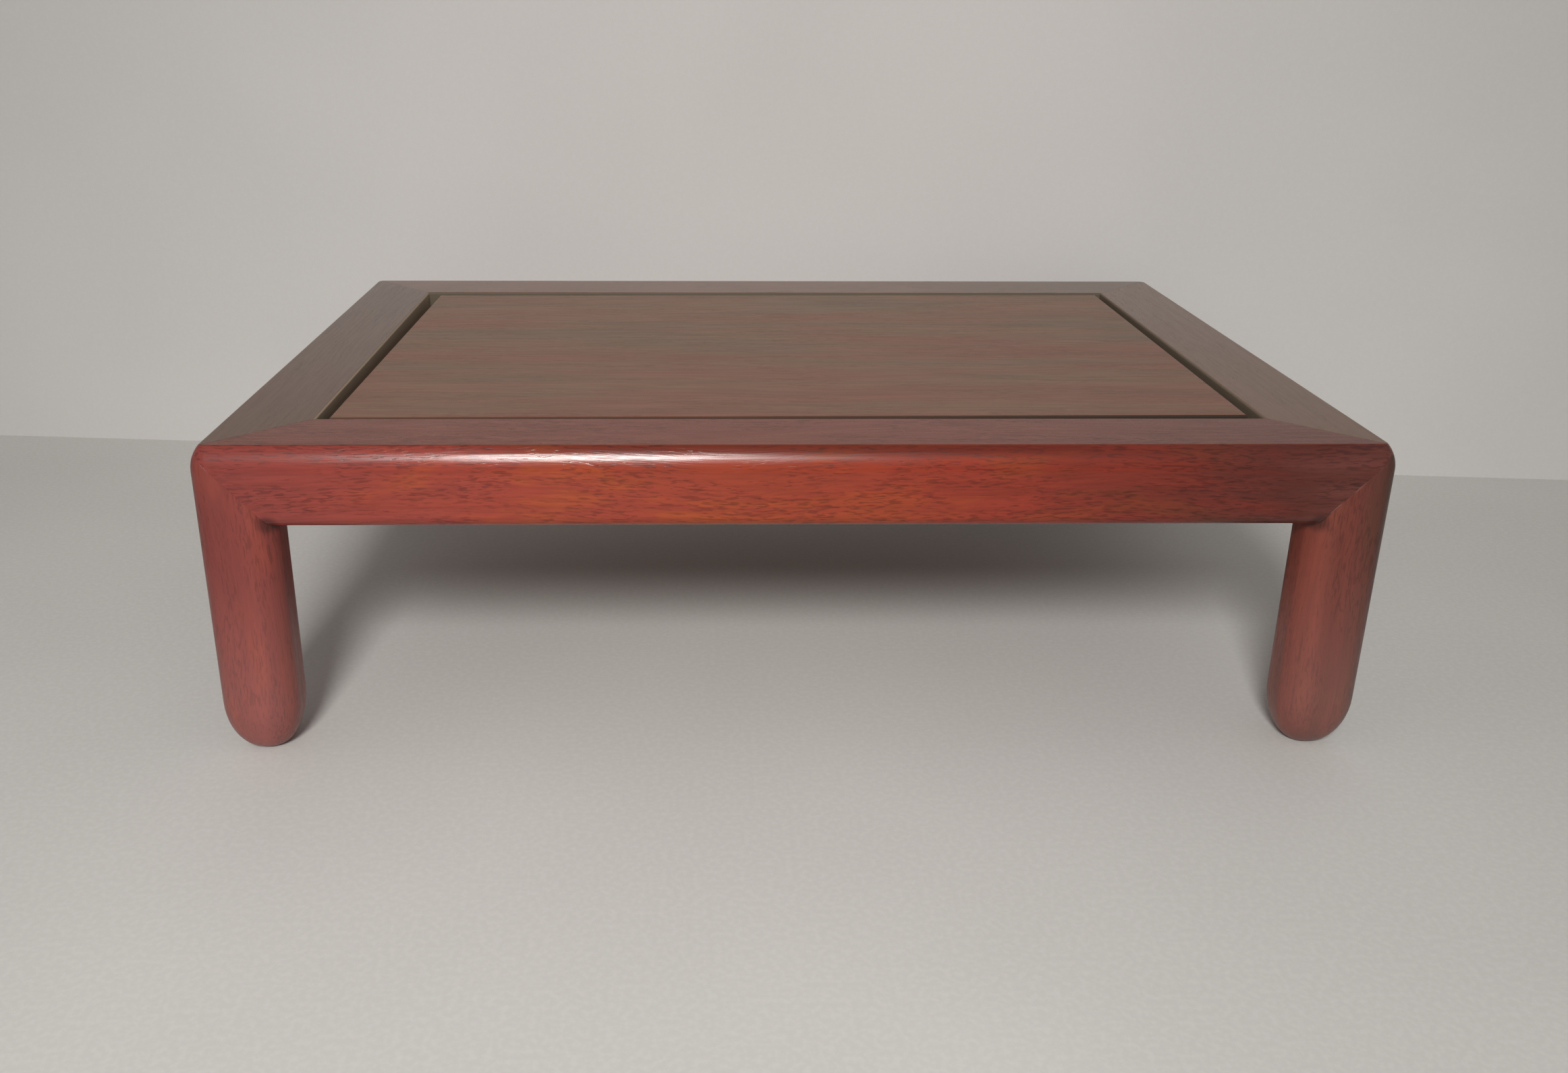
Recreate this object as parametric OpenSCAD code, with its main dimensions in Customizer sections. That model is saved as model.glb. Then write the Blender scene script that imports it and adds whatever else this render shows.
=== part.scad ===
// Low rectangular display stand in red hardwood, all sizes in millimetres.
// A mitred frame holds a floating panel in a groove, two battens slide into the underside of the panel,
// and each leg meets the two rails above it in a three-way mitre with hidden tenons.
// The origin is on the floor under the middle of the stand: X along the length, -Y to the front, Z up.

/* [Overall] */
// Length over the end rails
stand_length = 280; // [220:1:420]
// Depth from front to back
stand_depth = 200; // [160:1:300]
// Height from the floor to the top
stand_height = 80; // [60:1:140]

/* [Rails and legs] */
// Height of the rails
rail_h = 19.5; // [18:0.5:26]
// Width of a leg on each face; the mitres run from the outer corner to its inner edge
leg_w = 18; // [15:0.5:24]
// How much wider a rail is than a leg, seen from above
rail_extra = 6; // [5:0.5:12]
// Rounding of the stand's upright corners, which runs on down the outer edge of each leg
upright_r = 4.5; // [3.5:0.5:6]
// Rounding of the other three edges of a leg
leg_r = 7; // [4.5:0.5:7.5]
// Radius of the curve along the outer top edges, which meets the top at a soft arris
top_r = 9; // [6:0.5:10]
// How far that curve turns before it meets the top, in degrees
top_turn = 45; // [30:1:48]
// Rounding of the rail's lower edge on the outside
under_r = 3; // [1:0.5:5]
// Rounding of the rail's lower edge on the inside
lip_r = 1.5; // [0.5:0.5:2.5]
// Rounding of the edges along the channel
ease_r = 0.6; // [0.2:0.1:1]

/* [Feet] */
// Height over which a leg rounds in to its foot
foot_h = 14; // [6:0.5:20]
// Width of the flat that rests on the floor
foot_flat = 5; // [3:0.5:12]

/* [Panel] */
// Thickness of the panel at its field
panel_t = 11; // [9:0.5:13]
// Thickness of the tongue round the panel
tongue_t = 5; // [4:0.5:6]
// How far the tongue reaches into the rails
tongue_reach = 5; // [3:0.5:5.5]
// Channel between the panel's field and the end rails
end_channel = 3.5; // [1:0.1:5]
// Channel between the panel's field and the long rails
side_channel = 2.6; // [1:0.1:5]
// Room behind the tongue for the panel to swell
swell_room = 1; // [0.5:0.1:1.5]

/* [Battens] */
// Distance between the two battens, centre to centre
batten_spacing = 96; // [60:1:140]
// Width of a batten
batten_w = 14; // [12:0.5:20]
// Height of a batten under the panel
batten_h = 8; // [7:0.1:9]
// Height of the dovetail that slides into the panel
dovetail_h = 3; // [2:0.5:4]
// Width of the dovetail at its root
dovetail_w = 7; // [5:0.5:9]
// How much wider the dovetail gets on each side
dovetail_flare = 1; // [0.5:0.1:1.5]
// Width of the tenon on each end of a batten
batten_tenon_w = 8; // [5:0.5:10]
// Length of that tenon
batten_tenon_l = 5; // [3:0.5:6]

/* [Corner joint] */
// Distance from the outer faces to the near cheek of a leg tenon
leg_tenon_in = 3.5; // [3:0.1:4]
// Thickness of a leg tenon
leg_tenon_t = 5; // [3:0.5:6]
// Wood left between the two tenons of a leg
leg_tenon_web = 1.5; // [1:0.1:2.5]
// Wood left between a leg tenon and the inner face of the leg
leg_tenon_wall = 2; // [1:0.1:3]
// Wood left over the top of a leg tenon
leg_tenon_cover = 6; // [4:0.5:8]
// Wood left above and below the flat tenons, between the groove and the rail's underside
flat_tenon_skin = 1.75; // [1:0.05:2.5]
// Wood left between a long rail's flat tenon and its inner face
frame_tenon_wall = 1.5; // [1:0.1:2]
// Wood left between the end of that tenon and the outside of the end rail
frame_tenon_cover = 5; // [4:0.5:8]
// Glue clearance on each cheek of a joint
joint_gap = 0.1; // [0.05:0.05:0.2]
// Clearance at the end of a tenon
end_gap = 0.5; // [0.2:0.1:1]

/* [Hidden] */

rail_w = leg_w + rail_extra;
half_length = stand_length / 2;
half_depth = stand_depth / 2;
rail_base = stand_height - rail_h;
panel_base = stand_height - panel_t;
groove_depth = tongue_reach + swell_room;
// Height of the curve along the top edges, and how far it leans in from the outer face
top_drop = top_r * sin(top_turn);
top_lean = top_r * (1 - cos(top_turn));
// Half sizes of the opening inside the frame
inside_x = half_length - rail_w;
inside_y = half_depth - rail_w;
// The flat tenons of long rails and battens lie at one height, under the groove
flat_tenon_base = rail_base + flat_tenon_skin;
flat_tenon_h = rail_h - panel_t - 2 * flat_tenon_skin;
frame_tenon_w = rail_extra - frame_tenon_wall;
leg_tenon_start = leg_tenon_in + leg_tenon_t + leg_tenon_web;
leg_tenon_w = leg_w - leg_tenon_start - leg_tenon_wall;
// Slices that the rounding of a foot is drawn through
foot_slices = 8;
slice_t = 0.01;
foot_fn = 32;
$fn = 96;

// One corner of a square outline, filled outside a round of radius r, to be cut away
module corner_waste(r) {
    difference() {
        translate([-1, -1]) square(r + 1);
        translate([r, r]) circle(r);
    }
}

// An outer top edge in section, filled outside its curve; u runs inwards from the face, v down from the top
module top_edge_waste() {
    difference() {
        translate([-1, -1]) square([top_lean + 1, top_drop + 1]);
        translate([top_r, top_drop]) circle(top_r);
    }
}

// Section of a rail: u runs inwards from the outer face, v up from the underside
module rail_section() {
    difference() {
        square([rail_w, rail_h]);
        corner_waste(under_r);
        translate([0, rail_h]) mirror([0, 1]) top_edge_waste();
        translate([rail_w, 0]) mirror([1, 0]) corner_waste(lip_r);
        translate([rail_w, rail_h]) mirror([1, 0]) mirror([0, 1]) corner_waste(ease_r);
        translate([rail_w - groove_depth, rail_h - panel_t - joint_gap])
            square([groove_depth + 1, tongue_t + 2 * joint_gap]);
    }
}

// Section of a board of width w and thickness t standing on the origin, its two upper edges eased
module eased_section(w, t) {
    translate([-w / 2, 0]) difference() {
        square([w, t]);
        translate([0, t]) mirror([0, 1]) corner_waste(ease_r);
        translate([w, t]) mirror([1, 0]) mirror([0, 1]) corner_waste(ease_r);
    }
}

// Section of a leg, outer corner at the origin and still square
module leg_section() {
    difference() {
        square(leg_w);
        translate([leg_w, 0]) mirror([1, 0]) corner_waste(leg_r);
        translate([0, leg_w]) mirror([0, 1]) corner_waste(leg_r);
        translate([leg_w, leg_w]) mirror([1, 0]) mirror([0, 1]) corner_waste(leg_r);
    }
}

// Puts what is drawn at the front left corner, with that corner at the origin, at one of the four corners
module at_corner(right, back) {
    mirror([right ? 1 : 0, 0, 0]) mirror([0, back ? 1 : 0, 0])
        translate([-half_length, -half_depth, 0]) children();
}

module at_all_corners() {
    for (right = [false, true], back = [false, true]) at_corner(right, back) children();
}

// What is taken off the upright corner at the front left: the curve of the top edges runs on round it
module upright_corner_waste() {
    difference() {
        translate([-1, -1, foot_h]) cube([upright_r + 1, upright_r + 1, stand_height - foot_h + 1]);
        translate([upright_r, upright_r, 0]) rotate_extrude() difference() {
            square([upright_r, stand_height + 2]);
            translate([upright_r, stand_height]) mirror([1, 0]) mirror([0, 1]) top_edge_waste();
        }
    }
}

// A rail along X with its outer face at y = -out, mitred at both ends against the next rail and the leg
module rail_blank(len, out) {
    half = len / 2;
    intersection() {
        translate([-half, -out, rail_base]) rotate([90, 0, 90]) linear_extrude(len) rail_section();
        linear_extrude(stand_height + 1) polygon([
            [-half, -out], [half, -out], [half - rail_w, rail_w - out], [rail_w - half, rail_w - out],
        ]);
        translate([0, rail_w - out, 0]) rotate([90, 0, 0]) linear_extrude(rail_w) polygon([
            [-half, stand_height], [half, stand_height],
            [half - leg_w, rail_base], [leg_w - half, rail_base],
        ]);
    }
}

// Leg tenon that goes up into the long rail, at the front left corner; the gaps make it the mortise
module long_rail_leg_tenon(side = 0, end = 0) {
    translate([leg_tenon_start - side, leg_tenon_in - side, rail_base - side])
        cube([leg_tenon_w + 2 * side, leg_tenon_t + 2 * side, rail_h - leg_tenon_cover + side + end]);
}

// The same tenon for the end rail, on the other side of the corner's diagonal
module end_rail_leg_tenon(side = 0, end = 0) {
    mirror([1, -1, 0]) long_rail_leg_tenon(side, end);
}

// Tenon from a long rail into the end rail, at the front left corner
module frame_tenon(side = 0, end = 0) {
    translate([frame_tenon_cover - end, leg_w - side, flat_tenon_base - side])
        cube([rail_w - frame_tenon_cover + end, frame_tenon_w + 2 * side, flat_tenon_h + 2 * side]);
}

// Tenons at both ends of the two battens
module batten_tenons(side = 0, end = 0) {
    for (x = [-1, 1], y = [-1, 1])
        translate([x * batten_spacing / 2, y * (inside_y + (batten_tenon_l + end) / 2),
                   flat_tenon_base + flat_tenon_h / 2])
            cube([batten_tenon_w + 2 * side, batten_tenon_l + end, flat_tenon_h + 2 * side], center = true);
}

// Dovetail of a batten, running the length given
module dovetail(x, len, side = 0) {
    translate([x, len / 2, panel_base]) rotate([90, 0, 0]) linear_extrude(len) polygon([
        [-dovetail_w / 2 - side, -joint_gap], [dovetail_w / 2 + side, -joint_gap],
        [dovetail_w / 2 + dovetail_flare + side, dovetail_h + side],
        [-dovetail_w / 2 - dovetail_flare - side, dovetail_h + side],
    ]);
}

module long_rail() {
    color("#8c3226") difference() {
        union() {
            rail_blank(stand_length, half_depth);
            at_corner(false, false) frame_tenon();
            at_corner(true, false) frame_tenon();
        }
        at_corner(false, false) long_rail_leg_tenon(joint_gap, end_gap);
        at_corner(true, false) long_rail_leg_tenon(joint_gap, end_gap);
        at_corner(false, false) upright_corner_waste();
        at_corner(true, false) upright_corner_waste();
        batten_tenons(joint_gap, end_gap);
    }
}

module end_rail() {
    color("#842f25") difference() {
        rotate([0, 0, -90]) rail_blank(stand_depth, half_length);
        at_all_corners() {
            end_rail_leg_tenon(joint_gap, end_gap);
            frame_tenon(joint_gap, end_gap);
        }
        at_corner(false, false) upright_corner_waste();
        at_corner(false, true) upright_corner_waste();
    }
}

module top_panel() {
    tongue_x = inside_x + tongue_reach;
    tongue_y = inside_y + tongue_reach;
    field_x = inside_x - end_channel;
    field_y = inside_y - side_channel;
    color("#7c4434") difference() {
        union() {
            translate([-tongue_x, -tongue_y, panel_base]) cube([2 * tongue_x, 2 * tongue_y, tongue_t]);
            translate([0, 0, panel_base]) intersection() {
                rotate([90, 0, 0]) linear_extrude(2 * field_y, center = true)
                    eased_section(2 * field_x, panel_t);
                rotate([90, 0, 90]) linear_extrude(2 * field_x, center = true)
                    eased_section(2 * field_y, panel_t);
            }
        }
        for (side = [-1, 1]) dovetail(side * batten_spacing / 2, 2 * tongue_y + 2, joint_gap);
    }
}

module batten(side) {
    x = side * batten_spacing / 2;
    color("#6e2e22") union() {
        translate([x, 0, panel_base]) rotate([-90, 0, 0])
            linear_extrude(2 * inside_y, center = true) eased_section(batten_w, batten_h);
        dovetail(x, 2 * inside_y);
        intersection() {
            batten_tenons();
            translate([x - batten_w / 2, -half_depth, 0]) cube([batten_w, stand_depth, stand_height]);
        }
    }
}

// Foot of a leg: an elliptic round from the full section down to the flat on the floor
// The outline gets nearer to a circle the further in it is drawn
module foot() {
    half = leg_w / 2;
    hull() for (slice = [0:foot_slices], i = [0:3]) {
        turn = 90 * slice / foot_slices;
        share = 1 - cos(turn);
        r = (1 - share) * (i == 0 ? upright_r : leg_r) + share * foot_flat / 2;
        at = half - share * (half - foot_flat / 2) - r;
        translate([half + (i % 2 == 0 ? -at : at), half + (i < 2 ? -at : at), foot_h * (1 - sin(turn))])
            cylinder(h = slice_t, r = r, $fn = foot_fn);
    }
}

// A leg at the front left corner, its head cut to the two mitres and carrying both tenons
module leg() {
    mitre = [[0, foot_h], [leg_w, foot_h], [leg_w, rail_base], [0, stand_height]];
    color("#87312a") union() {
        difference() {
            intersection() {
                linear_extrude(stand_height) leg_section();
                translate([0, leg_w, 0]) rotate([90, 0, 0]) linear_extrude(leg_w) polygon(mitre);
                rotate([90, 0, 90]) linear_extrude(leg_w) polygon(mitre);
            }
            upright_corner_waste();
        }
        long_rail_leg_tenon();
        end_rail_leg_tenon();
        foot();
    }
}

long_rail();  // long_rail_front
mirror([0, 1, 0]) long_rail();  // long_rail_back
end_rail();  // end_rail_left
mirror([1, 0, 0]) end_rail();  // end_rail_right
top_panel();
batten(-1);  // batten_left
batten(1);  // batten_right
at_corner(false, false) leg();  // leg_front_left
at_corner(true, false) leg();  // leg_front_right
at_corner(false, true) leg();  // leg_back_left
at_corner(true, true) leg();  // leg_back_right
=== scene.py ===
"""A low stand for a jade or a vase, in red hardwood: a mitred frame round a floating panel, on four legs."""
import math

import bmesh
import bpy
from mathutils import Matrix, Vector


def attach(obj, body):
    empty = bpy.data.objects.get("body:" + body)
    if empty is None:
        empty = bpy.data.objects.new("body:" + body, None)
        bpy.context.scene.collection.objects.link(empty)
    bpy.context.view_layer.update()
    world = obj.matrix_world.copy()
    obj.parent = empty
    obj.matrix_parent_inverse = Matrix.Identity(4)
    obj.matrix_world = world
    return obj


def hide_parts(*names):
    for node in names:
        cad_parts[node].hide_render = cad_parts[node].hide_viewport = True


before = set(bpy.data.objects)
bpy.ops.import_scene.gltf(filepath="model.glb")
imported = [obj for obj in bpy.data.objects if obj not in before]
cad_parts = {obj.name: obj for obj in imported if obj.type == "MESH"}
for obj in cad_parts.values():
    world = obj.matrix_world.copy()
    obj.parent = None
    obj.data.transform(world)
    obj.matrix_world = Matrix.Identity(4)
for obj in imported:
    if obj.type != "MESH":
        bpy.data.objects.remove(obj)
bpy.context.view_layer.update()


# Long rails. The front and the back of the frame, each planed from one board of red hardwood.
# Each is grooved inside for the panel's tongue, rounded along its edges and sawn at both ends
# to the mitres that meet the end rails on top and the legs below; the tenons are inside.
MM = 0.001
HALF_LENGTH, HALF_DEPTH, HEIGHT = 140 * MM, 100 * MM, 80 * MM
RAIL_WIDTH, RAIL_HEIGHT = 24 * MM, 19.5 * MM
RAIL_BASE = HEIGHT - RAIL_HEIGHT
INSIDE_X, INSIDE_Y = HALF_LENGTH - RAIL_WIDTH, HALF_DEPTH - RAIL_WIDTH
LEG_WIDTH = 18 * MM
UPRIGHT_ROUND, UNDER_ROUND, LIP_ROUND, EASED = 4.5 * MM, 3 * MM, 1.5 * MM, 0.6 * MM
UPRIGHT_STEPS, UNDER_STEPS, LIP_STEPS, EASED_STEPS = 12, 8, 5, 3
TOP_CURVE, TOP_TURN, CURVE_STEPS = 9 * MM, math.radians(45), 10
TOP_ARRIS, TOP_ARRIS_STEPS = 0.35 * MM, 3
PANEL_THICKNESS, TONGUE_THICKNESS, TONGUE_REACH = 11 * MM, 5 * MM, 5 * MM
PANEL_BASE = HEIGHT - PANEL_THICKNESS
TONGUE_TOP = PANEL_BASE + TONGUE_THICKNESS
JOINT_GAP, SWELL_ROOM = 0.1 * MM, 1 * MM
ARRIS, ARRIS_STEPS = 0.06 * MM, 2
SHARP_ANGLE, SMOOTH_ANGLE = math.radians(40), math.radians(35)
HAIR = 0.001 * MM
SAME_WAY = 0.99


def start_block(name, low, high):
    """Adds a block between two corners, with its place in its mesh, and opens it for shaping."""
    bpy.ops.object.select_all(action="DESELECT")
    middle = [(near + far) / 2 for near, far in zip(low, high)]
    size = [far - near for near, far in zip(low, high)]
    bpy.ops.mesh.primitive_cube_add(size=1, location=middle, scale=size)
    block = bpy.context.active_object
    block.name = block.data.name = name
    bpy.ops.object.transform_apply(location=True, rotation=True, scale=True)
    bpy.ops.object.mode_set(mode="EDIT")
    return block


def pick(piece, kind, wanted):
    """Selects the faces or the edges of an open piece that the test accepts."""
    bpy.ops.mesh.select_mode(type=kind)
    bpy.ops.mesh.select_all(action="DESELECT")
    mesh = bmesh.from_edit_mesh(piece.data)
    for item in mesh.faces if kind == "FACE" else mesh.edges:
        if wanted(item):
            item.select_set(True)
    mesh.select_flush_mode()
    bmesh.update_edit_mesh(piece.data)


def faces_towards(direction, low, high, half_x=HALF_LENGTH, half_y=HALF_DEPTH):
    """A test for faces that look one way, with their middle between two levels and inside an outline."""
    def wanted(face):
        middle = face.calc_center_median()
        level = low - HAIR < middle.z < high + HAIR
        inside = abs(middle.x) < half_x + HAIR and abs(middle.y) < half_y + HAIR
        return level and inside and face.normal.dot(Vector(direction)) > SAME_WAY
    return wanted


def edge_at(place):
    """A test for the straight edge at a place, in which None marks the axis that the edge runs along."""
    def wanted(edge):
        return all(
            abs(end.co[axis] - at) < HAIR
            for end in edge.verts for axis, at in enumerate(place) if at is not None
        )
    return wanted


def on_top(edge):
    """A test for edges that lie in the top of the stand."""
    return all(end.co.z > HEIGHT - HAIR for end in edge.verts)


def round_edge(piece, place, radius, steps):
    """Rounds the straight edge of an open piece at a place."""
    pick(piece, "EDGE", edge_at(place))
    bpy.ops.mesh.bevel(offset_type="OFFSET", offset=radius, segments=steps, affect="EDGES")


def split_faces(point, direction):
    """Scores a line across the selected faces of the open piece."""
    bpy.ops.mesh.bisect(plane_co=point, plane_no=direction, threshold=HAIR)


def saw_off(point, keep):
    """Saws the open piece through a point and keeps the side that the direction points to."""
    bpy.ops.mesh.select_all(action="SELECT")
    bpy.ops.mesh.bisect(plane_co=point, plane_no=keep, use_fill=True, clear_inner=True, threshold=HAIR)


def frame_blank(name, base):
    """Starts a block of the stand's whole outline, with its corners and its top edges rounded."""
    blank = start_block(
        name, (-HALF_LENGTH, -HALF_DEPTH, base),
        (HALF_LENGTH, HALF_DEPTH, HEIGHT - TOP_CURVE * math.sin(TOP_TURN)),
    )
    for x in (-HALF_LENGTH, HALF_LENGTH):
        for y in (-HALF_DEPTH, HALF_DEPTH):
            round_edge(blank, (x, y, None), UPRIGHT_ROUND, UPRIGHT_STEPS)
    pick(blank, "FACE", faces_towards((0, 0, 1), base, HEIGHT))
    for step in range(CURVE_STEPS):
        low, high = TOP_TURN * step / CURVE_STEPS, TOP_TURN * (step + 1) / CURVE_STEPS
        bpy.ops.mesh.inset(
            thickness=TOP_CURVE * (math.cos(low) - math.cos(high)),
            depth=TOP_CURVE * (math.sin(high) - math.sin(low)),
        )
    pick(blank, "EDGE", on_top)
    bpy.ops.mesh.bevel(offset_type="OFFSET", offset=TOP_ARRIS, segments=TOP_ARRIS_STEPS, affect="EDGES")
    return blank


def groove(rail, inward):
    """Cuts the groove for the panel's tongue into the inner face of an open rail."""
    groove_low, groove_high = PANEL_BASE - JOINT_GAP, TONGUE_TOP + JOINT_GAP
    for level in (groove_low, groove_high):
        pick(rail, "FACE", faces_towards(inward, RAIL_BASE, HEIGHT))
        split_faces((0, 0, level), (0, 0, 1))
    pick(rail, "FACE", faces_towards(inward, groove_low, groove_high))
    cut = tuple(-part * (TONGUE_REACH + SWELL_ROOM) for part in inward)
    bpy.ops.mesh.extrude_region_move(TRANSFORM_OT_translate={"value": cut})


def mirrored(piece, name, flip):
    """Copies a piece with its own mesh, mirrors the copy across the stand and leaves it open."""
    bpy.ops.object.mode_set(mode="OBJECT")
    bpy.ops.object.select_all(action="DESELECT")
    piece.select_set(True)
    bpy.context.view_layer.objects.active = piece
    bpy.ops.object.duplicate(linked=False)
    copy = bpy.context.active_object
    copy.name = copy.data.name = name
    bpy.ops.object.mode_set(mode="EDIT")
    bpy.ops.mesh.select_all(action="SELECT")
    bpy.ops.transform.resize(value=flip, center_override=(0, 0, 0))
    return copy


def finish_edges(piece):
    """Closes a shaped piece: takes the sharpness off its arrises and smooths its rounded edges."""
    if piece.mode == "OBJECT":
        bpy.ops.object.select_all(action="DESELECT")
        piece.select_set(True)
        bpy.context.view_layer.objects.active = piece
        bpy.ops.object.mode_set(mode="EDIT")
    bpy.ops.mesh.select_all(action="SELECT")
    bpy.ops.mesh.remove_doubles(threshold=HAIR)
    bpy.ops.mesh.normals_make_consistent(inside=False)
    bpy.ops.object.mode_set(mode="OBJECT")
    plane = piece.modifiers.new("arris", "BEVEL")
    plane.width = ARRIS
    plane.segments = ARRIS_STEPS
    plane.limit_method = "ANGLE"
    plane.angle_limit = SHARP_ANGLE
    bpy.ops.object.modifier_apply(modifier=plane.name)
    bpy.ops.object.shade_smooth_by_angle(angle=SMOOTH_ANGLE)
    flats = piece.modifiers.new("flats", "WEIGHTED_NORMAL")
    flats.keep_sharp = True
    bpy.ops.object.modifier_apply(modifier=flats.name)


def fit(piece, node, finish):
    """Gives a piece its finish and puts it in the stand in place of its CAD node."""
    piece.data.materials.clear()
    piece.data.materials.append(finish)
    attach(piece, "root")
    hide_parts(node)


front_rail = frame_blank("front_rail", RAIL_BASE)
saw_off((0, -INSIDE_Y, 0), (0, -1, 0))
groove(front_rail, (0, 1, 0))
for side in (-1, 1):
    corner = (side * HALF_LENGTH, -HALF_DEPTH, HEIGHT)
    saw_off(corner, (-side, -1, 0))
    saw_off(corner, (-side * RAIL_HEIGHT, 0, LEG_WIDTH))
round_edge(front_rail, (None, -HALF_DEPTH, RAIL_BASE), UNDER_ROUND, UNDER_STEPS)
round_edge(front_rail, (None, -INSIDE_Y, RAIL_BASE), LIP_ROUND, LIP_STEPS)
round_edge(front_rail, (None, -INSIDE_Y, HEIGHT), EASED, EASED_STEPS)
back_rail = mirrored(front_rail, "back_rail", (1, -1, 1))
finish_edges(back_rail)
finish_edges(front_rail)


def add(tree, kind, inputs=None, **settings):
    """Adds a node with its settings; an input is either linked to a socket or set to a value."""
    made = tree.nodes.new("ShaderNode" + kind)
    for name, value in settings.items():
        setattr(made, name, value)
    for place, value in (inputs or {}).items():
        if isinstance(value, bpy.types.NodeSocket):
            tree.links.new(value, made.inputs[place])
        else:
            made.inputs[place].default_value = value
    return made


def sums(tree, operation, first, second=0.0, third=0.0):
    """One step of arithmetic on values or sockets."""
    return add(tree, "Math", {0: first, 1: second, 2: third}, operation=operation).outputs[0]


def spread(tree, value, low, high, to_low=0.0, to_high=1.0):
    """Stretches a value from one span to another and stops at its ends."""
    return add(tree, "MapRange", {
        "Value": value, "From Min": low, "From Max": high, "To Min": to_low, "To Max": to_high,
    }, interpolation_type="SMOOTHSTEP").outputs["Result"]


def paint(tree, share, under, over, blend="MIX"):
    """Lays one colour over another by a share; a colour is a socket or three values."""
    under, over = [(*tint, 1.0) if isinstance(tint, tuple) else tint for tint in (under, over)]
    return add(tree, "MixRGB", {0: share, 1: under, 2: over}, blend_type=blend).outputs[0]


def blotches(tree, place, stretch, detail, low, high, rough=0.5, bent=0.0):
    """Noise with so many waves a metre each way, spread to the full span from 0 to 1."""
    drawn = add(tree, "VectorMath", {0: place, 1: stretch}, operation="MULTIPLY").outputs[0]
    noise = add(tree, "TexNoise", {
        "Vector": drawn, "Scale": 1.0, "Detail": detail, "Roughness": rough, "Distortion": bent,
    })
    return spread(tree, noise.outputs["Fac"], low, high)


def new_effect(name, gives):
    """Starts a node group that reads a place and gives masks; returns it with its inner ends."""
    effect = bpy.data.node_groups.new(name, "ShaderNodeTree")
    effect.interface.new_socket("Vector", in_out="INPUT", socket_type="NodeSocketVector")
    for label in gives:
        effect.interface.new_socket(label, in_out="OUTPUT", socket_type="NodeSocketFloat")
    start = effect.nodes.new("NodeGroupInput")
    end = effect.nodes.new("NodeGroupOutput")
    return effect, start.outputs["Vector"], end.inputs


# The grain of the wood, on coordinates whose X runs along the board
SWAYS_A_METRE, SWAY = 16.0, 6 * MM
grain, place, give = new_effect("hardwood_grain", ("Lines", "Bands", "Drift", "Figure", "Flecks", "Pores"))
wave = add(grain, "TexNoise", {"Vector": place, "Scale": SWAYS_A_METRE, "Detail": 1.0})
level = add(grain, "VectorMath", {0: wave.outputs["Color"], 1: (0.5, 0.5, 0.5)}, operation="SUBTRACT")
wavy = add(grain, "VectorMath", {
    0: level.outputs[0], 1: (0.0, SWAY, SWAY), 2: place,
}, operation="MULTIPLY_ADD").outputs[0]
for label, stretch, detail, low, high, rough, bent in (
    ("Lines", (45, 1300, 1300), 3.0, 0.30, 0.70, 0.60, 0.2),
    ("Bands", (9, 150, 150), 3.0, 0.30, 0.70, 0.55, 0.3),
    ("Drift", (11, 58, 58), 1.5, 0.32, 0.68, 0.45, 0.0),
    ("Figure", (30, 120, 120), 3.0, 0.32, 0.68, 0.60, 0.3),
):
    grain.links.new(blotches(grain, wavy, stretch, detail, low, high, rough, bent), give[label])
dashes = blotches(grain, wavy, (330, 2200, 2200), 1.0, 0.47, 0.66)
patches = blotches(grain, wavy, (38, 120, 120), 1.0, 0.31, 0.58)
grain.links.new(sums(grain, "MULTIPLY", dashes, patches), give["Flecks"])
pinholes = blotches(grain, wavy, (320, 2800, 2800), 1.0, 0.58, 0.72)
rows = blotches(grain, wavy, (30, 260, 260), 1.0, 0.36, 0.62)
grain.links.new(sums(grain, "MULTIPLY", pinholes, rows), give["Pores"])

# The joint between rail and leg: a hair of pale wax in the right mitres, and painted shade in the inner
# corner
WAX_FULL, WAX_GONE = 0.12 * MM, 0.40 * MM
WAX_LEFT, WAX_RIGHT = 100 * MM, 120 * MM
WAX_TOP, WAX_BELOW = 0.35 * RAIL_HEIGHT, 0.65 * RAIL_HEIGHT
WAX_BREAKS_A_METRE = (220, 220, 220)
CORNER_SHADE_FULL, CORNER_SHADE_GONE = 0.8 * MM, 4.0 * MM
CORNER_SHADE_IN, CORNER_SHADE_UP = 1.0 * MM, 0.5 * MM
joint, place, give = new_effect("mitre_joint", ("Wax", "CornerShade"))
spot = add(joint, "SeparateXYZ", {"Vector": place}).outputs
in_from_end = sums(joint, "SUBTRACT", HALF_LENGTH, sums(joint, "ABSOLUTE", spot["X"]))
below_top = sums(joint, "SUBTRACT", HEIGHT, spot["Z"])
mitre_in = sums(joint, "MULTIPLY", below_top, LEG_WIDTH / RAIL_HEIGHT)
off_mitre = sums(joint, "ABSOLUTE", sums(joint, "SUBTRACT", in_from_end, mitre_in))
wax = spread(joint, off_mitre, WAX_FULL, WAX_GONE, 1.0, 0.0)
for mask in (
    blotches(joint, place, WAX_BREAKS_A_METRE, 2.0, 0.42, 0.62),
    spread(joint, spot["X"], WAX_LEFT, WAX_RIGHT),
    spread(joint, below_top, WAX_TOP, WAX_BELOW),
):
    wax = sums(joint, "MULTIPLY", wax, mask)
joint.links.new(wax, give["Wax"])
# Painted shade: the colour darkens round the inner corner where rail and leg meet
in_x = sums(joint, "SUBTRACT", in_from_end, LEG_WIDTH - CORNER_SHADE_IN)
in_z = sums(joint, "SUBTRACT", below_top, RAIL_HEIGHT - CORNER_SHADE_UP)
squares = sums(joint, "MULTIPLY_ADD", in_x, in_x, sums(joint, "MULTIPLY", in_z, in_z))
from_corner = sums(joint, "SQRT", squares)
joint.links.new(spread(joint, from_corner, CORNER_SHADE_FULL, CORNER_SHADE_GONE, 1.0, 0.0), give["CornerShade"])
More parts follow.
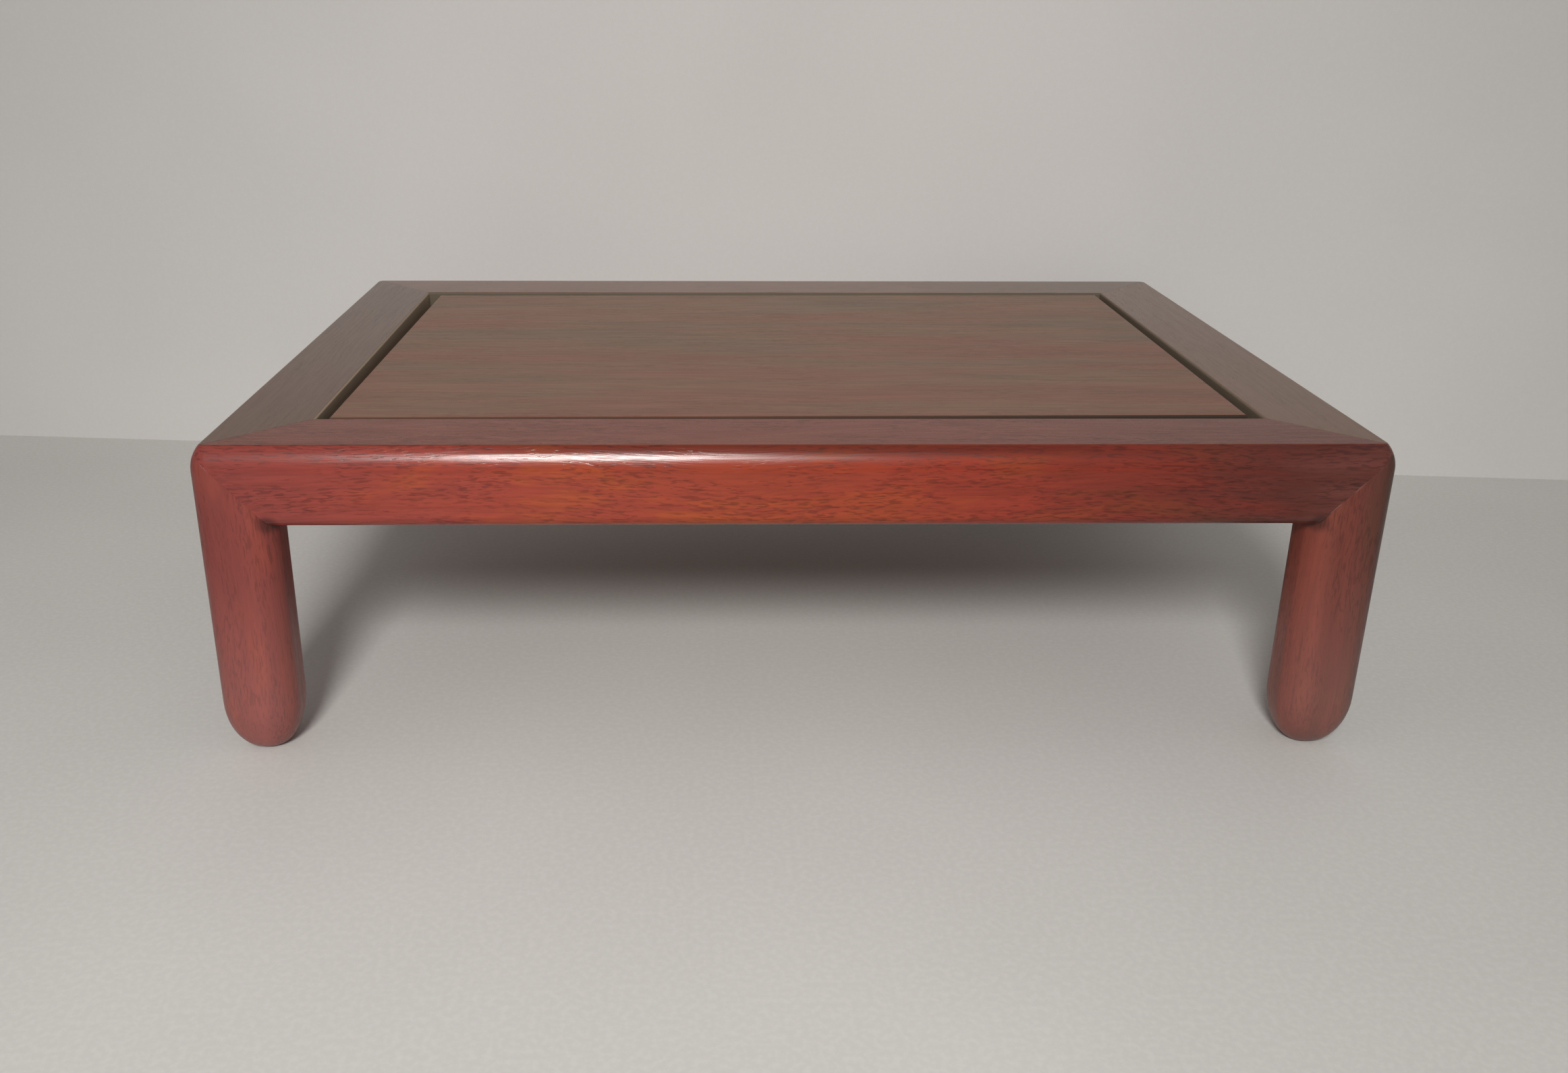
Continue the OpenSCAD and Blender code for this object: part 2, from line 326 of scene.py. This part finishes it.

# What tells the faces of the frame apart: the flat top, the rounded arris round it, the channel inside;
# the colours laid on them carry painted sheen and shade
TOP_STARTS, TOP_FULL = HEIGHT - 0.22 * MM, HEIGHT - 0.04 * MM
ARRIS_STARTS, ARRIS_FULL = HEIGHT - 4.0 * MM, HEIGHT - 0.7 * MM
CHANNEL_SHADE_STARTS, CHANNEL_SHADE_FULL = TONGUE_TOP - 1.0 * MM, TONGUE_TOP - 0.2 * MM
CHANNEL_SHADE_ENDS, CHANNEL_SHADE_GONE = HEIGHT - 0.16 * MM, HEIGHT - 0.02 * MM
SHADE_ON_RAIL, RAIL_UNSHADED = 0.35 * MM, 0.55 * MM
faces, place, give = new_effect("frame_faces", ("Top", "Arris", "Channel"))
spot = add(faces, "SeparateXYZ", {"Vector": place}).outputs
top_mask = spread(faces, spot["Z"], TOP_STARTS, TOP_FULL)
arris_mask = spread(faces, spot["Z"], ARRIS_STARTS, ARRIS_FULL)
channel_mask = spread(faces, spot["Z"], CHANNEL_SHADE_ENDS, CHANNEL_SHADE_GONE, 1.0, 0.0)
over_tongue = spread(faces, spot["Z"], CHANNEL_SHADE_STARTS, CHANNEL_SHADE_FULL)
channel_mask = sums(faces, "MULTIPLY", channel_mask, over_tongue)
for axis, opening in (("X", INSIDE_X), ("Y", INSIDE_Y)):
    off_centre = sums(faces, "ABSOLUTE", spot[axis])
    inside = spread(faces, off_centre, opening + SHADE_ON_RAIL, opening + RAIL_UNSHADED, 1.0, 0.0)
    channel_mask = sums(faces, "MULTIPLY", channel_mask, inside)
faces.links.new(top_mask, give["Top"])
faces.links.new(sums(faces, "MULTIPLY", arris_mask, sums(faces, "SUBTRACT", 1.0, top_mask)), give["Arris"])
faces.links.new(channel_mask, give["Channel"])

WAX_COLOUR, DUST_COLOUR = (0.50, 0.26, 0.20), (0.46, 0.30, 0.28)
DUST_LOW, DUST_HIGH = 4 * MM, 60 * MM
PATCH_LEAST, PATCH_NEAR, PATCH_FAR = 0.45, 75 * MM, 115 * MM
EDGE_DARK_NEAR, EDGE_DARK_FAR, EDGE_DARK_AT_ENDS = 30 * MM, 100 * MM, 0.25
FLECK_DULL, CHANNEL_DULL = 0.04, 0.45
LINE_RISE, PORE_SINK, RELIEF_ON_TOP, RELIEF_DEPTH = 0.6, -0.6, 0.1, 0.1 * MM
SHINE = 0.36


def wood(
    name, turn, shift, run, tones, warm, streaks, marks, gloss, relief, channel,
    top=((1.0, 1.0, 1.0), 0.0), matt_top=1.0, arris=1.0, corner_shade=1.0, wax=0.0, dust=0.0,
):
    """A red hardwood under a rubbed finish.

    Turn and shift lay the grain along the board. The tones follow each other along the run, an axis of
    the stand, and the streaks push them to and fro. Warm is the tint of the lighter patches, its share
    in the middle of the stand, and how much of that is left at the ends. Marks, arris and the corner
    shade are shades that darken: the marks follow the grain, the arris darkens the rounded top edge most
    in the middle, partly as a darker edge of the wood and partly as painted shade under the highlight,
    and the corner shade is painted shade in the inner corner where rail and leg meet. Top is the colour
    laid on the flat top, with its share, partly the top's own colour and partly painted sheen and shade,
    and channel is the painted shade in the channel at its left and at its right end. Gloss is the
    roughness off and on the lines of the grain, matt_top multiplies it on the flat top, and relief is
    how strongly the grain stands up. Wax and dust are shares of those two colours.
    """
    finish = bpy.data.materials.new(name)
    finish.use_nodes = True
    tree = finish.node_tree
    tree.nodes.clear()
    place = add(tree, "TexCoord").outputs["Object"]
    spot = add(tree, "SeparateXYZ", {"Vector": place}).outputs
    board = add(tree, "Mapping", {"Vector": place, "Rotation": turn, "Location": shift}).outputs[0]
    cut = add(tree, "Group", node_tree=grain)
    mitre = add(tree, "Group", node_tree=joint)
    side = add(tree, "Group", node_tree=faces)
    tree.links.new(board, cut.inputs["Vector"])
    tree.links.new(place, mitre.inputs["Vector"])
    tree.links.new(place, side.inputs["Vector"])
    cut, mitre, side = cut.outputs, mitre.outputs, side.outputs

    reach = {"X": HALF_LENGTH, "Y": HALF_DEPTH}[run]
    tone = sums(tree, "MULTIPLY_ADD", spot[run], 0.5 / reach, 0.5)
    for label, share in streaks.items():
        tone = sums(tree, "MULTIPLY_ADD", cut[label], share, sums(tree, "SUBTRACT", tone, share / 2))
    ramp = add(tree, "ValToRGB", {"Fac": tone})
    stops = ramp.color_ramp.elements
    while len(stops) < len(tones):
        stops.new(0.5)
    for stop, (position, colour) in zip(stops, tones):
        stop.position = position
        stop.color = (*colour, 1.0)
    warm_tint, warm_share, warm_at_ends = warm
    off_middle = sums(tree, "ABSOLUTE", spot["X"])
    patch = sums(
        tree, "MULTIPLY", spread(tree, cut["Figure"], PATCH_LEAST, 1.0, 0.0, warm_share),
        spread(tree, off_middle, PATCH_NEAR, PATCH_FAR, 1.0, warm_at_ends),
    )
    colour = paint(tree, patch, ramp.outputs["Color"], warm_tint, "MULTIPLY")
    # The flat top takes a colour of its own: partly the top's own colour, partly painted sheen and shade
    top_paint_with_sheen, top_share = top
    colour = paint(tree, sums(tree, "MULTIPLY", side["Top"], top_share), colour, top_paint_with_sheen)

    # The rounded top edge is darker, most in the middle: partly a darker edge of the wood, partly painted
    # shade
    edge_wear_and_shade = spread(tree, off_middle, EDGE_DARK_NEAR, EDGE_DARK_FAR, 1.0, EDGE_DARK_AT_ENDS)
    edge_wear_and_shade = sums(tree, "MULTIPLY", side["Arris"], edge_wear_and_shade)
    shade = 1.0
    for mask, dark in (
        *[(cut[label], dark) for label, dark in marks.items()], (edge_wear_and_shade, arris), (mitre["CornerShade"], corner_shade),
    ):
        shade = sums(tree, "MULTIPLY", shade, spread(tree, mask, 0.0, 1.0, 1.0, dark))
    colour = paint(tree, 1.0, colour, shade, "MULTIPLY")
    colour = paint(tree, sums(tree, "MULTIPLY", mitre["Wax"], wax), colour, WAX_COLOUR)
    # Painted shade in the channel round the panel, with its own tint at the left and at the right end
    channel_shade = paint(tree, spread(tree, spot["X"], -HALF_LENGTH, HALF_LENGTH), *channel)
    colour = paint(tree, side["Channel"], colour, channel_shade)
    colour = paint(tree, spread(tree, spot["Z"], DUST_LOW, DUST_HIGH, dust, 0.0), colour, DUST_COLOUR)

    dull = spread(tree, cut["Lines"], 0.0, 1.0, *gloss)
    dull = sums(tree, "MULTIPLY_ADD", cut["Flecks"], FLECK_DULL, dull)
    dull = sums(tree, "MULTIPLY", dull, spread(tree, side["Top"], 0.0, 1.0, 1.0, matt_top))
    dull = sums(tree, "MULTIPLY_ADD", side["Channel"], CHANNEL_DULL, dull)
    height = sums(tree, "MULTIPLY", cut["Lines"], LINE_RISE)
    height = sums(tree, "MULTIPLY_ADD", cut["Pores"], PORE_SINK, height)
    height = sums(tree, "MULTIPLY", height, spread(tree, side["Top"], 0.0, 1.0, 1.0, RELIEF_ON_TOP))
    bump = add(tree, "Bump", {"Height": height, "Strength": relief, "Distance": RELIEF_DEPTH})
    surface = add(tree, "BsdfPrincipled", {
        "Base Color": colour, "Roughness": dull, "Specular IOR Level": SHINE, "Normal": bump.outputs[0],
    })
    end = add(tree, "OutputMaterial")
    tree.links.new(surface.outputs[0], end.inputs["Surface"])
    return finish


# The top colours are partly the tops' own colour and partly painted sheen and shade; the back top is greyer
for rail, node, top_tint_and_sheen, matt_top in (
    (front_rail, "long_rail_front", (0.152, 0.030, 0.012), 1.25),
    (back_rail, "long_rail_back", (0.152, 0.086, 0.048), 0.90),
):
    rail_wood = wood(
        rail.name + "_wood", turn=(0, 0, 0), shift=(0, 0, 0), run="X",
        tones=[
            (0.00, (0.232, 0.045, 0.038)), (0.23, (0.284, 0.044, 0.027)), (0.44, (0.278, 0.042, 0.019)),
            (0.65, (0.245, 0.031, 0.016)), (0.81, (0.155, 0.023, 0.014)), (0.90, (0.100, 0.022, 0.016)),
            (1.00, (0.125, 0.036, 0.029)),
        ],
        warm=((1.25, 1.60, 0.90), 0.6, 0.0), streaks={"Bands": 0.06, "Figure": 0.08},
        marks={"Lines": 0.84, "Flecks": 0.66, "Pores": 0.70},
        gloss=(0.205, 0.255), relief=0.24, channel=((0.12, 0.095, 0.065), (0.12, 0.095, 0.065)),
        top=(top_tint_and_sheen, 0.78), matt_top=matt_top, arris=0.5, corner_shade=0.45, wax=0.3,
    )
    fit(rail, node, rail_wood)


# End rails. The two short members of the frame, of the same boards with the grain running across.
# They are worked like the long rails and hold the long rails' tenons in their mitred ends.
left_end_rail = frame_blank("left_end_rail", RAIL_BASE)
saw_off((-INSIDE_X, 0, 0), (-1, 0, 0))
groove(left_end_rail, (1, 0, 0))
for side in (-1, 1):
    corner = (-HALF_LENGTH, side * HALF_DEPTH, HEIGHT)
    saw_off(corner, (-1, -side, 0))
    saw_off(corner, (0, -side * RAIL_HEIGHT, LEG_WIDTH))
round_edge(left_end_rail, (-HALF_LENGTH, None, RAIL_BASE), UNDER_ROUND, UNDER_STEPS)
round_edge(left_end_rail, (-INSIDE_X, None, RAIL_BASE), LIP_ROUND, LIP_STEPS)
round_edge(left_end_rail, (-INSIDE_X, None, HEIGHT), EASED, EASED_STEPS)
right_end_rail = mirrored(left_end_rail, "right_end_rail", (-1, 1, 1))
finish_edges(right_end_rail)
finish_edges(left_end_rail)
# Their top colours are partly the tops' own colour and partly painted sheen and shade, and their channel
# colours are painted shade, lighter at the left end than at the right
for rail, node, top_tint_and_sheen in (
    (left_end_rail, "end_rail_left", (0.080, 0.046, 0.019)),
    (right_end_rail, "end_rail_right", (0.148, 0.080, 0.041)),
):
    end_rail_wood = wood(
        rail.name + "_wood", turn=(0, 0, math.radians(90)), shift=(0.3, 0.1, 0), run="X",
        tones=[(0.0, (0.205, 0.043, 0.035)), (1.0, (0.150, 0.040, 0.028))],
        warm=((1.20, 1.10, 1.00), 0.5, 1.0), streaks={"Bands": 0.15, "Drift": 0.25},
        marks={"Lines": 0.93, "Flecks": 0.90, "Pores": 0.92},
        gloss=(0.25, 0.31), relief=0.3, channel=((0.36, 0.270, 0.190), (0.15, 0.110, 0.075)),
        top=(top_tint_and_sheen, 0.8), matt_top=0.8, arris=0.7, corner_shade=0.45,
    )
    fit(rail, node, end_rail_wood)


# Battens. Two plain bars under the panel that keep it flat, planed and oiled only.
# Each slides into the panel on a dovetail and is tenoned into the long rails.
BATTEN_PLACE, BATTEN_WIDTH, BATTEN_HEIGHT = 48 * MM, 14 * MM, 8 * MM
BATTEN_BASE = PANEL_BASE - BATTEN_HEIGHT

left_batten = start_block(
    "left_batten",
    (-BATTEN_PLACE - BATTEN_WIDTH / 2, -INSIDE_Y, BATTEN_BASE),
    (-BATTEN_PLACE + BATTEN_WIDTH / 2, INSIDE_Y, PANEL_BASE),
)
for side in (-1, 1):
    edge = (-BATTEN_PLACE + side * BATTEN_WIDTH / 2, None, BATTEN_BASE)
    round_edge(left_batten, edge, EASED, EASED_STEPS)
right_batten = mirrored(left_batten, "right_batten", (-1, 1, 1))
finish_edges(right_batten)
finish_edges(left_batten)
batten_wood = wood(
    "batten_wood", turn=(0, 0, math.radians(90)), shift=(0.7, 0.2, 0.1), run="X",
    tones=[(0.0, (0.16, 0.052, 0.032)), (1.0, (0.20, 0.064, 0.038))],
    warm=((1.30, 1.30, 1.10), 0.6, 1.0), streaks={"Bands": 0.5, "Figure": 0.3},
    marks={"Lines": 0.80, "Flecks": 0.65, "Pores": 0.60},
    gloss=(0.48, 0.60), relief=0.6, channel=((0.16, 0.052, 0.032), (0.16, 0.052, 0.032)),
)
fit(left_batten, "batten_left", batten_wood)
fit(right_batten, "batten_right", batten_wood)


# Panel. One board that floats in the rails' grooves on a tongue, with its field flush with the frame.
# A dark channel is left all round it; the field was trimmed by hand, so the channel isn't even.
FIELD_X, FIELD_Y = 112.5 * MM, 73.4 * MM
FIELD_CORNERS = {
    (-1, -1): (-113.0 * MM, -75.2 * MM), (1, -1): (112.9 * MM, -73.4 * MM),
    (-1, 1): (-111.5 * MM, 71.6 * MM), (1, 1): (113.7 * MM, 73.2 * MM),
}
FIELD_EASED_STEPS = 4

panel = start_block(
    "panel",
    (-INSIDE_X - TONGUE_REACH, -INSIDE_Y - TONGUE_REACH, PANEL_BASE),
    (INSIDE_X + TONGUE_REACH, INSIDE_Y + TONGUE_REACH, TONGUE_TOP),
)
board_top = faces_towards((0, 0, 1), PANEL_BASE, HEIGHT)
for side in (-1, 1):
    pick(panel, "FACE", board_top)
    split_faces((side * FIELD_X, 0, 0), (1, 0, 0))
    pick(panel, "FACE", board_top)
    split_faces((0, side * FIELD_Y, 0), (0, 1, 0))
pick(panel, "FACE", faces_towards((0, 0, 1), PANEL_BASE, HEIGHT, FIELD_X, FIELD_Y))
bpy.ops.mesh.extrude_region_move(TRANSFORM_OT_translate={"value": (0, 0, HEIGHT - TONGUE_TOP)})
for (right, back), (x, y) in FIELD_CORNERS.items():
    pick(panel, "EDGE", edge_at((right * FIELD_X, back * FIELD_Y, None)))
    bpy.ops.transform.translate(value=(x - right * FIELD_X, y - back * FIELD_Y, 0))
pick(panel, "EDGE", on_top)
bpy.ops.mesh.bevel(offset_type="OFFSET", offset=EASED, segments=FIELD_EASED_STEPS, affect="EDGES")
finish_edges(panel)
# The panel's tones turn greyer towards the back, partly the board's own tone and partly painted reflection;
# its channel colours are painted shade, darker at the right
panel_wood = wood(
    "panel_wood", turn=(0, 0, 0), shift=(0.5, 0.33, 0.2), run="Y",
    tones=[(0.10, (0.224, 0.094, 0.057)), (0.50, (0.240, 0.121, 0.071)), (0.90, (0.216, 0.129, 0.077))],
    warm=((1.10, 0.90, 1.00), 0.5, 1.0), streaks={"Drift": 0.65, "Bands": 0.40},
    marks={"Drift": 0.92, "Bands": 0.86, "Lines": 0.90, "Flecks": 0.88, "Pores": 0.88},
    gloss=(0.40, 0.46), relief=0.2, channel=((0.085, 0.040, 0.026), (0.030, 0.020, 0.013)),
)
fit(panel, "top_panel", panel_wood)


# Legs. Four square posts of the same wood, flush with the frame, with their edges well rounded.
# The head is sawn to the two mitres and tenoned up into the rails; the foot is rounded by rasp.
LEG_ROUND, LEG_ROUND_STEPS = 7 * MM, 12
LEG_X, LEG_Y = -HALF_LENGTH + LEG_WIDTH / 2, -HALF_DEPTH + LEG_WIDTH / 2
LEG_INNER_X, LEG_INNER_Y = -HALF_LENGTH + LEG_WIDTH, -HALF_DEPTH + LEG_WIDTH
FOOT_HEIGHT, FOOT_FLAT, FOOT_STEPS = 14 * MM, 5 * MM, 12
FLAT_POINTS = (-3 * MM, -1.5 * MM, 0, 1.5 * MM)

front_left_leg = frame_blank("front_left_leg", FOOT_HEIGHT)
saw_off((LEG_INNER_X, 0, 0), (-1, 0, 0))
saw_off((0, LEG_INNER_Y, 0), (0, -1, 0))
corner = (-HALF_LENGTH, -HALF_DEPTH, HEIGHT)
saw_off(corner, (-RAIL_HEIGHT, 0, -LEG_WIDTH))
saw_off(corner, (0, -RAIL_HEIGHT, -LEG_WIDTH))
for x, y in ((LEG_INNER_X, -HALF_DEPTH), (-HALF_LENGTH, LEG_INNER_Y), (LEG_INNER_X, LEG_INNER_Y)):
    round_edge(front_left_leg, (x, y, None), LEG_ROUND, LEG_ROUND_STEPS)
# Lines down the flats of the leg give the foot enough points to turn round between its corners
for off in FLAT_POINTS:
    bpy.ops.mesh.select_all(action="SELECT")
    split_faces((LEG_X + off, 0, 0), (1, 0, 0))
    bpy.ops.mesh.select_all(action="SELECT")
    split_faces((0, LEG_Y + off, 0), (0, 1, 0))
pick(front_left_leg, "FACE", faces_towards((0, 0, -1), 0, FOOT_HEIGHT))
bpy.ops.mesh.dissolve_faces()
# Each step down the foot makes the outline rounder, and narrower along a quarter of an ellipse
level, drawn_in = FOOT_HEIGHT, 0.0
for step in range(1, FOOT_STEPS + 1):
    turn = math.radians(90 * step / FOOT_STEPS)
    next_level, next_in = FOOT_HEIGHT * (1 - math.sin(turn)), 1 - math.cos(turn)
    bpy.ops.mesh.extrude_region_move(TRANSFORM_OT_translate={"value": (0, 0, next_level - level)})
    centre = (LEG_X, LEG_Y, next_level)
    bpy.ops.transform.tosphere(value=1 - (1 - next_in) / (1 - drawn_in), center_override=centre)
    mesh = bmesh.from_edit_mesh(front_left_leg.data)
    ring = [point.co.x for point in mesh.verts if point.select]
    half = LEG_WIDTH / 2 - next_in * (LEG_WIDTH - FOOT_FLAT) / 2
    scale = 2 * half / (max(ring) - min(ring))
    bpy.ops.transform.resize(value=(scale, scale, 1), center_override=centre)
    level, drawn_in = next_level, next_in
legs = {"leg_front_left": front_left_leg}
for name, node, flip in (
    ("front_right_leg", "leg_front_right", (-1, 1, 1)),
    ("back_left_leg", "leg_back_left", (1, -1, 1)),
    ("back_right_leg", "leg_back_right", (-1, -1, 1)),
):
    legs[node] = mirrored(front_left_leg, name, flip)
    finish_edges(legs[node])
finish_edges(front_left_leg)
# The tones across the legs darken their outer sides, most on the right legs: painted shade
leg_wood = wood(
    "leg_wood", turn=(0, math.radians(90), 0), shift=(0.2, 0.6, 0.4), run="X",
    tones=[
        (0.00, (0.200, 0.043, 0.036)), (0.03, (0.265, 0.054, 0.045)), (0.07, (0.278, 0.055, 0.045)),
        (0.93, (0.232, 0.050, 0.032)), (0.97, (0.178, 0.044, 0.031)), (1.00, (0.090, 0.034, 0.027)),
    ],
    warm=((1.20, 1.20, 0.90), 0.5, 1.0), streaks={"Bands": 0.012, "Figure": 0.012},
    marks={"Drift": 0.84, "Bands": 0.86, "Lines": 0.92, "Flecks": 0.76, "Pores": 0.80},
    gloss=(0.30, 0.40), relief=0.4, channel=((0.20, 0.16, 0.10), (0.20, 0.16, 0.10)),
    corner_shade=0.45, wax=0.3, dust=0.13,
)
for node, leg in legs.items():
    fit(leg, node, leg_wood)


# Table and wall. A pale board under the stand and a pale wall close behind it, both matt.
# Both can be seen through from behind, so that the back and the underside of the stand stay in view.
TABLE_SIZE = 4.0
WALL_LENGTH, WALL_HEIGHT = 3.0, 0.8
WALL_AT, WALL_TURN = (0, 0.139, WALL_HEIGHT / 2), math.radians(-5.5)
FLECKS_A_METRE, CLOUDS_A_METRE = (700, 700, 700), (9, 9, 9)
CLOUDING, MATT = 0.04, 0.75
TABLE_COLOUR, TABLE_SPECKLE = (0.63, 0.62, 0.60), 0.06
WALL_COLOUR, WALL_SPECKLE = (0.66, 0.645, 0.63), 0.02


def pale_board(name, colour, speckle):
    """A matt pale surface with a fine fleck, which is clear from its back."""
    finish = bpy.data.materials.new(name)
    finish.use_nodes = True
    tree = finish.node_tree
    tree.nodes.clear()
    place = add(tree, "TexCoord").outputs["Object"]
    fleck = blotches(tree, place, FLECKS_A_METRE, 2.0, 0.35, 0.75)
    clouds = blotches(tree, place, CLOUDS_A_METRE, 2.0, 0.30, 0.70)
    tint = sums(tree, "MULTIPLY_ADD", clouds, CLOUDING, 1 - CLOUDING)
    tint = sums(tree, "MULTIPLY_ADD", fleck, speckle, tint)
    base = paint(tree, 1.0, colour, tint, "MULTIPLY")
    surface = add(tree, "BsdfPrincipled", {"Base Color": base, "Roughness": MATT})
    behind = add(tree, "NewGeometry").outputs["Backfacing"]
    clear = add(tree, "BsdfTransparent")
    shown = add(tree, "MixShader", {0: behind, 1: surface.outputs[0], 2: clear.outputs[0]})
    end = add(tree, "OutputMaterial")
    tree.links.new(shown.outputs[0], end.inputs["Surface"])
    return finish


bpy.ops.object.select_all(action="DESELECT")
bpy.ops.mesh.primitive_plane_add(size=TABLE_SIZE, location=(0, 0, 0))
table = bpy.context.active_object
table.name = "table"
table.data.materials.append(pale_board("pale_table", TABLE_COLOUR, TABLE_SPECKLE))

bpy.ops.object.select_all(action="DESELECT")
bpy.ops.mesh.primitive_plane_add(size=1.0, location=WALL_AT, rotation=(math.radians(90), 0, WALL_TURN))
wall = bpy.context.active_object
wall.name = "wall"
wall.scale = (WALL_LENGTH, WALL_HEIGHT, 1.0)
bpy.ops.object.transform_apply(location=True, rotation=True, scale=True)
wall.data.materials.append(pale_board("pale_wall", WALL_COLOUR, WALL_SPECKLE))


# Light and view. One soft lamp in front, a little to the left and above, with a weak fill
# all round; the camera stands close to the front, a little above the top.
LAMP_AT, LAMP_AIM = Vector((-0.115, -0.80, 0.52)), Vector((-0.02, -0.06, 0.05))
LAMP_SIZE, LAMP_POWER, LAMP_SPREAD = 0.20, 1.12, math.radians(74)
LAMP_COLOUR = (1.0, 0.98, 0.95)
FILL_COLOUR, FILL_STRENGTH = (1.0, 0.975, 0.945, 1.0), 0.33
ROOM_COLOUR, ROOM_STRENGTH = (0.60, 0.58, 0.56, 1.0), 1.0
CAMERA_AT, CAMERA_TURN = (-0.02203, -0.4038, 0.17705), (68.6733, -0.2905, -1.1153)
SENSOR_WIDTH, LENS, SIDE_SHIFT, NEAREST = 36.0, 32.067, 0.0339, 0.01

bpy.ops.object.light_add(type="AREA", location=LAMP_AT)
lamp = bpy.context.active_object
lamp.name = "lamp"
lamp.data.shape = "DISK"
lamp.data.size = LAMP_SIZE
lamp.data.energy = LAMP_POWER
lamp.data.spread = LAMP_SPREAD
lamp.data.color = LAMP_COLOUR
lamp.rotation_euler = (LAMP_AIM - LAMP_AT).to_track_quat("-Z", "Y").to_euler()
lamp.visible_camera = False

scene = bpy.context.scene
world = bpy.data.worlds.new("room")
world.use_nodes = True
scene.world = world
sky = world.node_tree
sky.nodes.clear()
fill = add(sky, "Background", {"Color": FILL_COLOUR, "Strength": FILL_STRENGTH})
seen = add(sky, "Background", {"Color": ROOM_COLOUR, "Strength": ROOM_STRENGTH})
eye = add(sky, "LightPath").outputs["Is Camera Ray"]
mixed = add(sky, "MixShader", {0: eye, 1: fill.outputs[0], 2: seen.outputs[0]})
sky_end = add(sky, "OutputWorld")
sky.links.new(mixed.outputs[0], sky_end.inputs["Surface"])

bpy.ops.object.camera_add(location=CAMERA_AT, rotation=[math.radians(turn) for turn in CAMERA_TURN])
camera = bpy.context.active_object
camera.data.sensor_width = SENSOR_WIDTH
camera.data.lens = LENS
camera.data.shift_x = SIDE_SHIFT
camera.data.clip_start = NEAREST
scene.camera = camera
scene.view_settings.view_transform = "Standard"
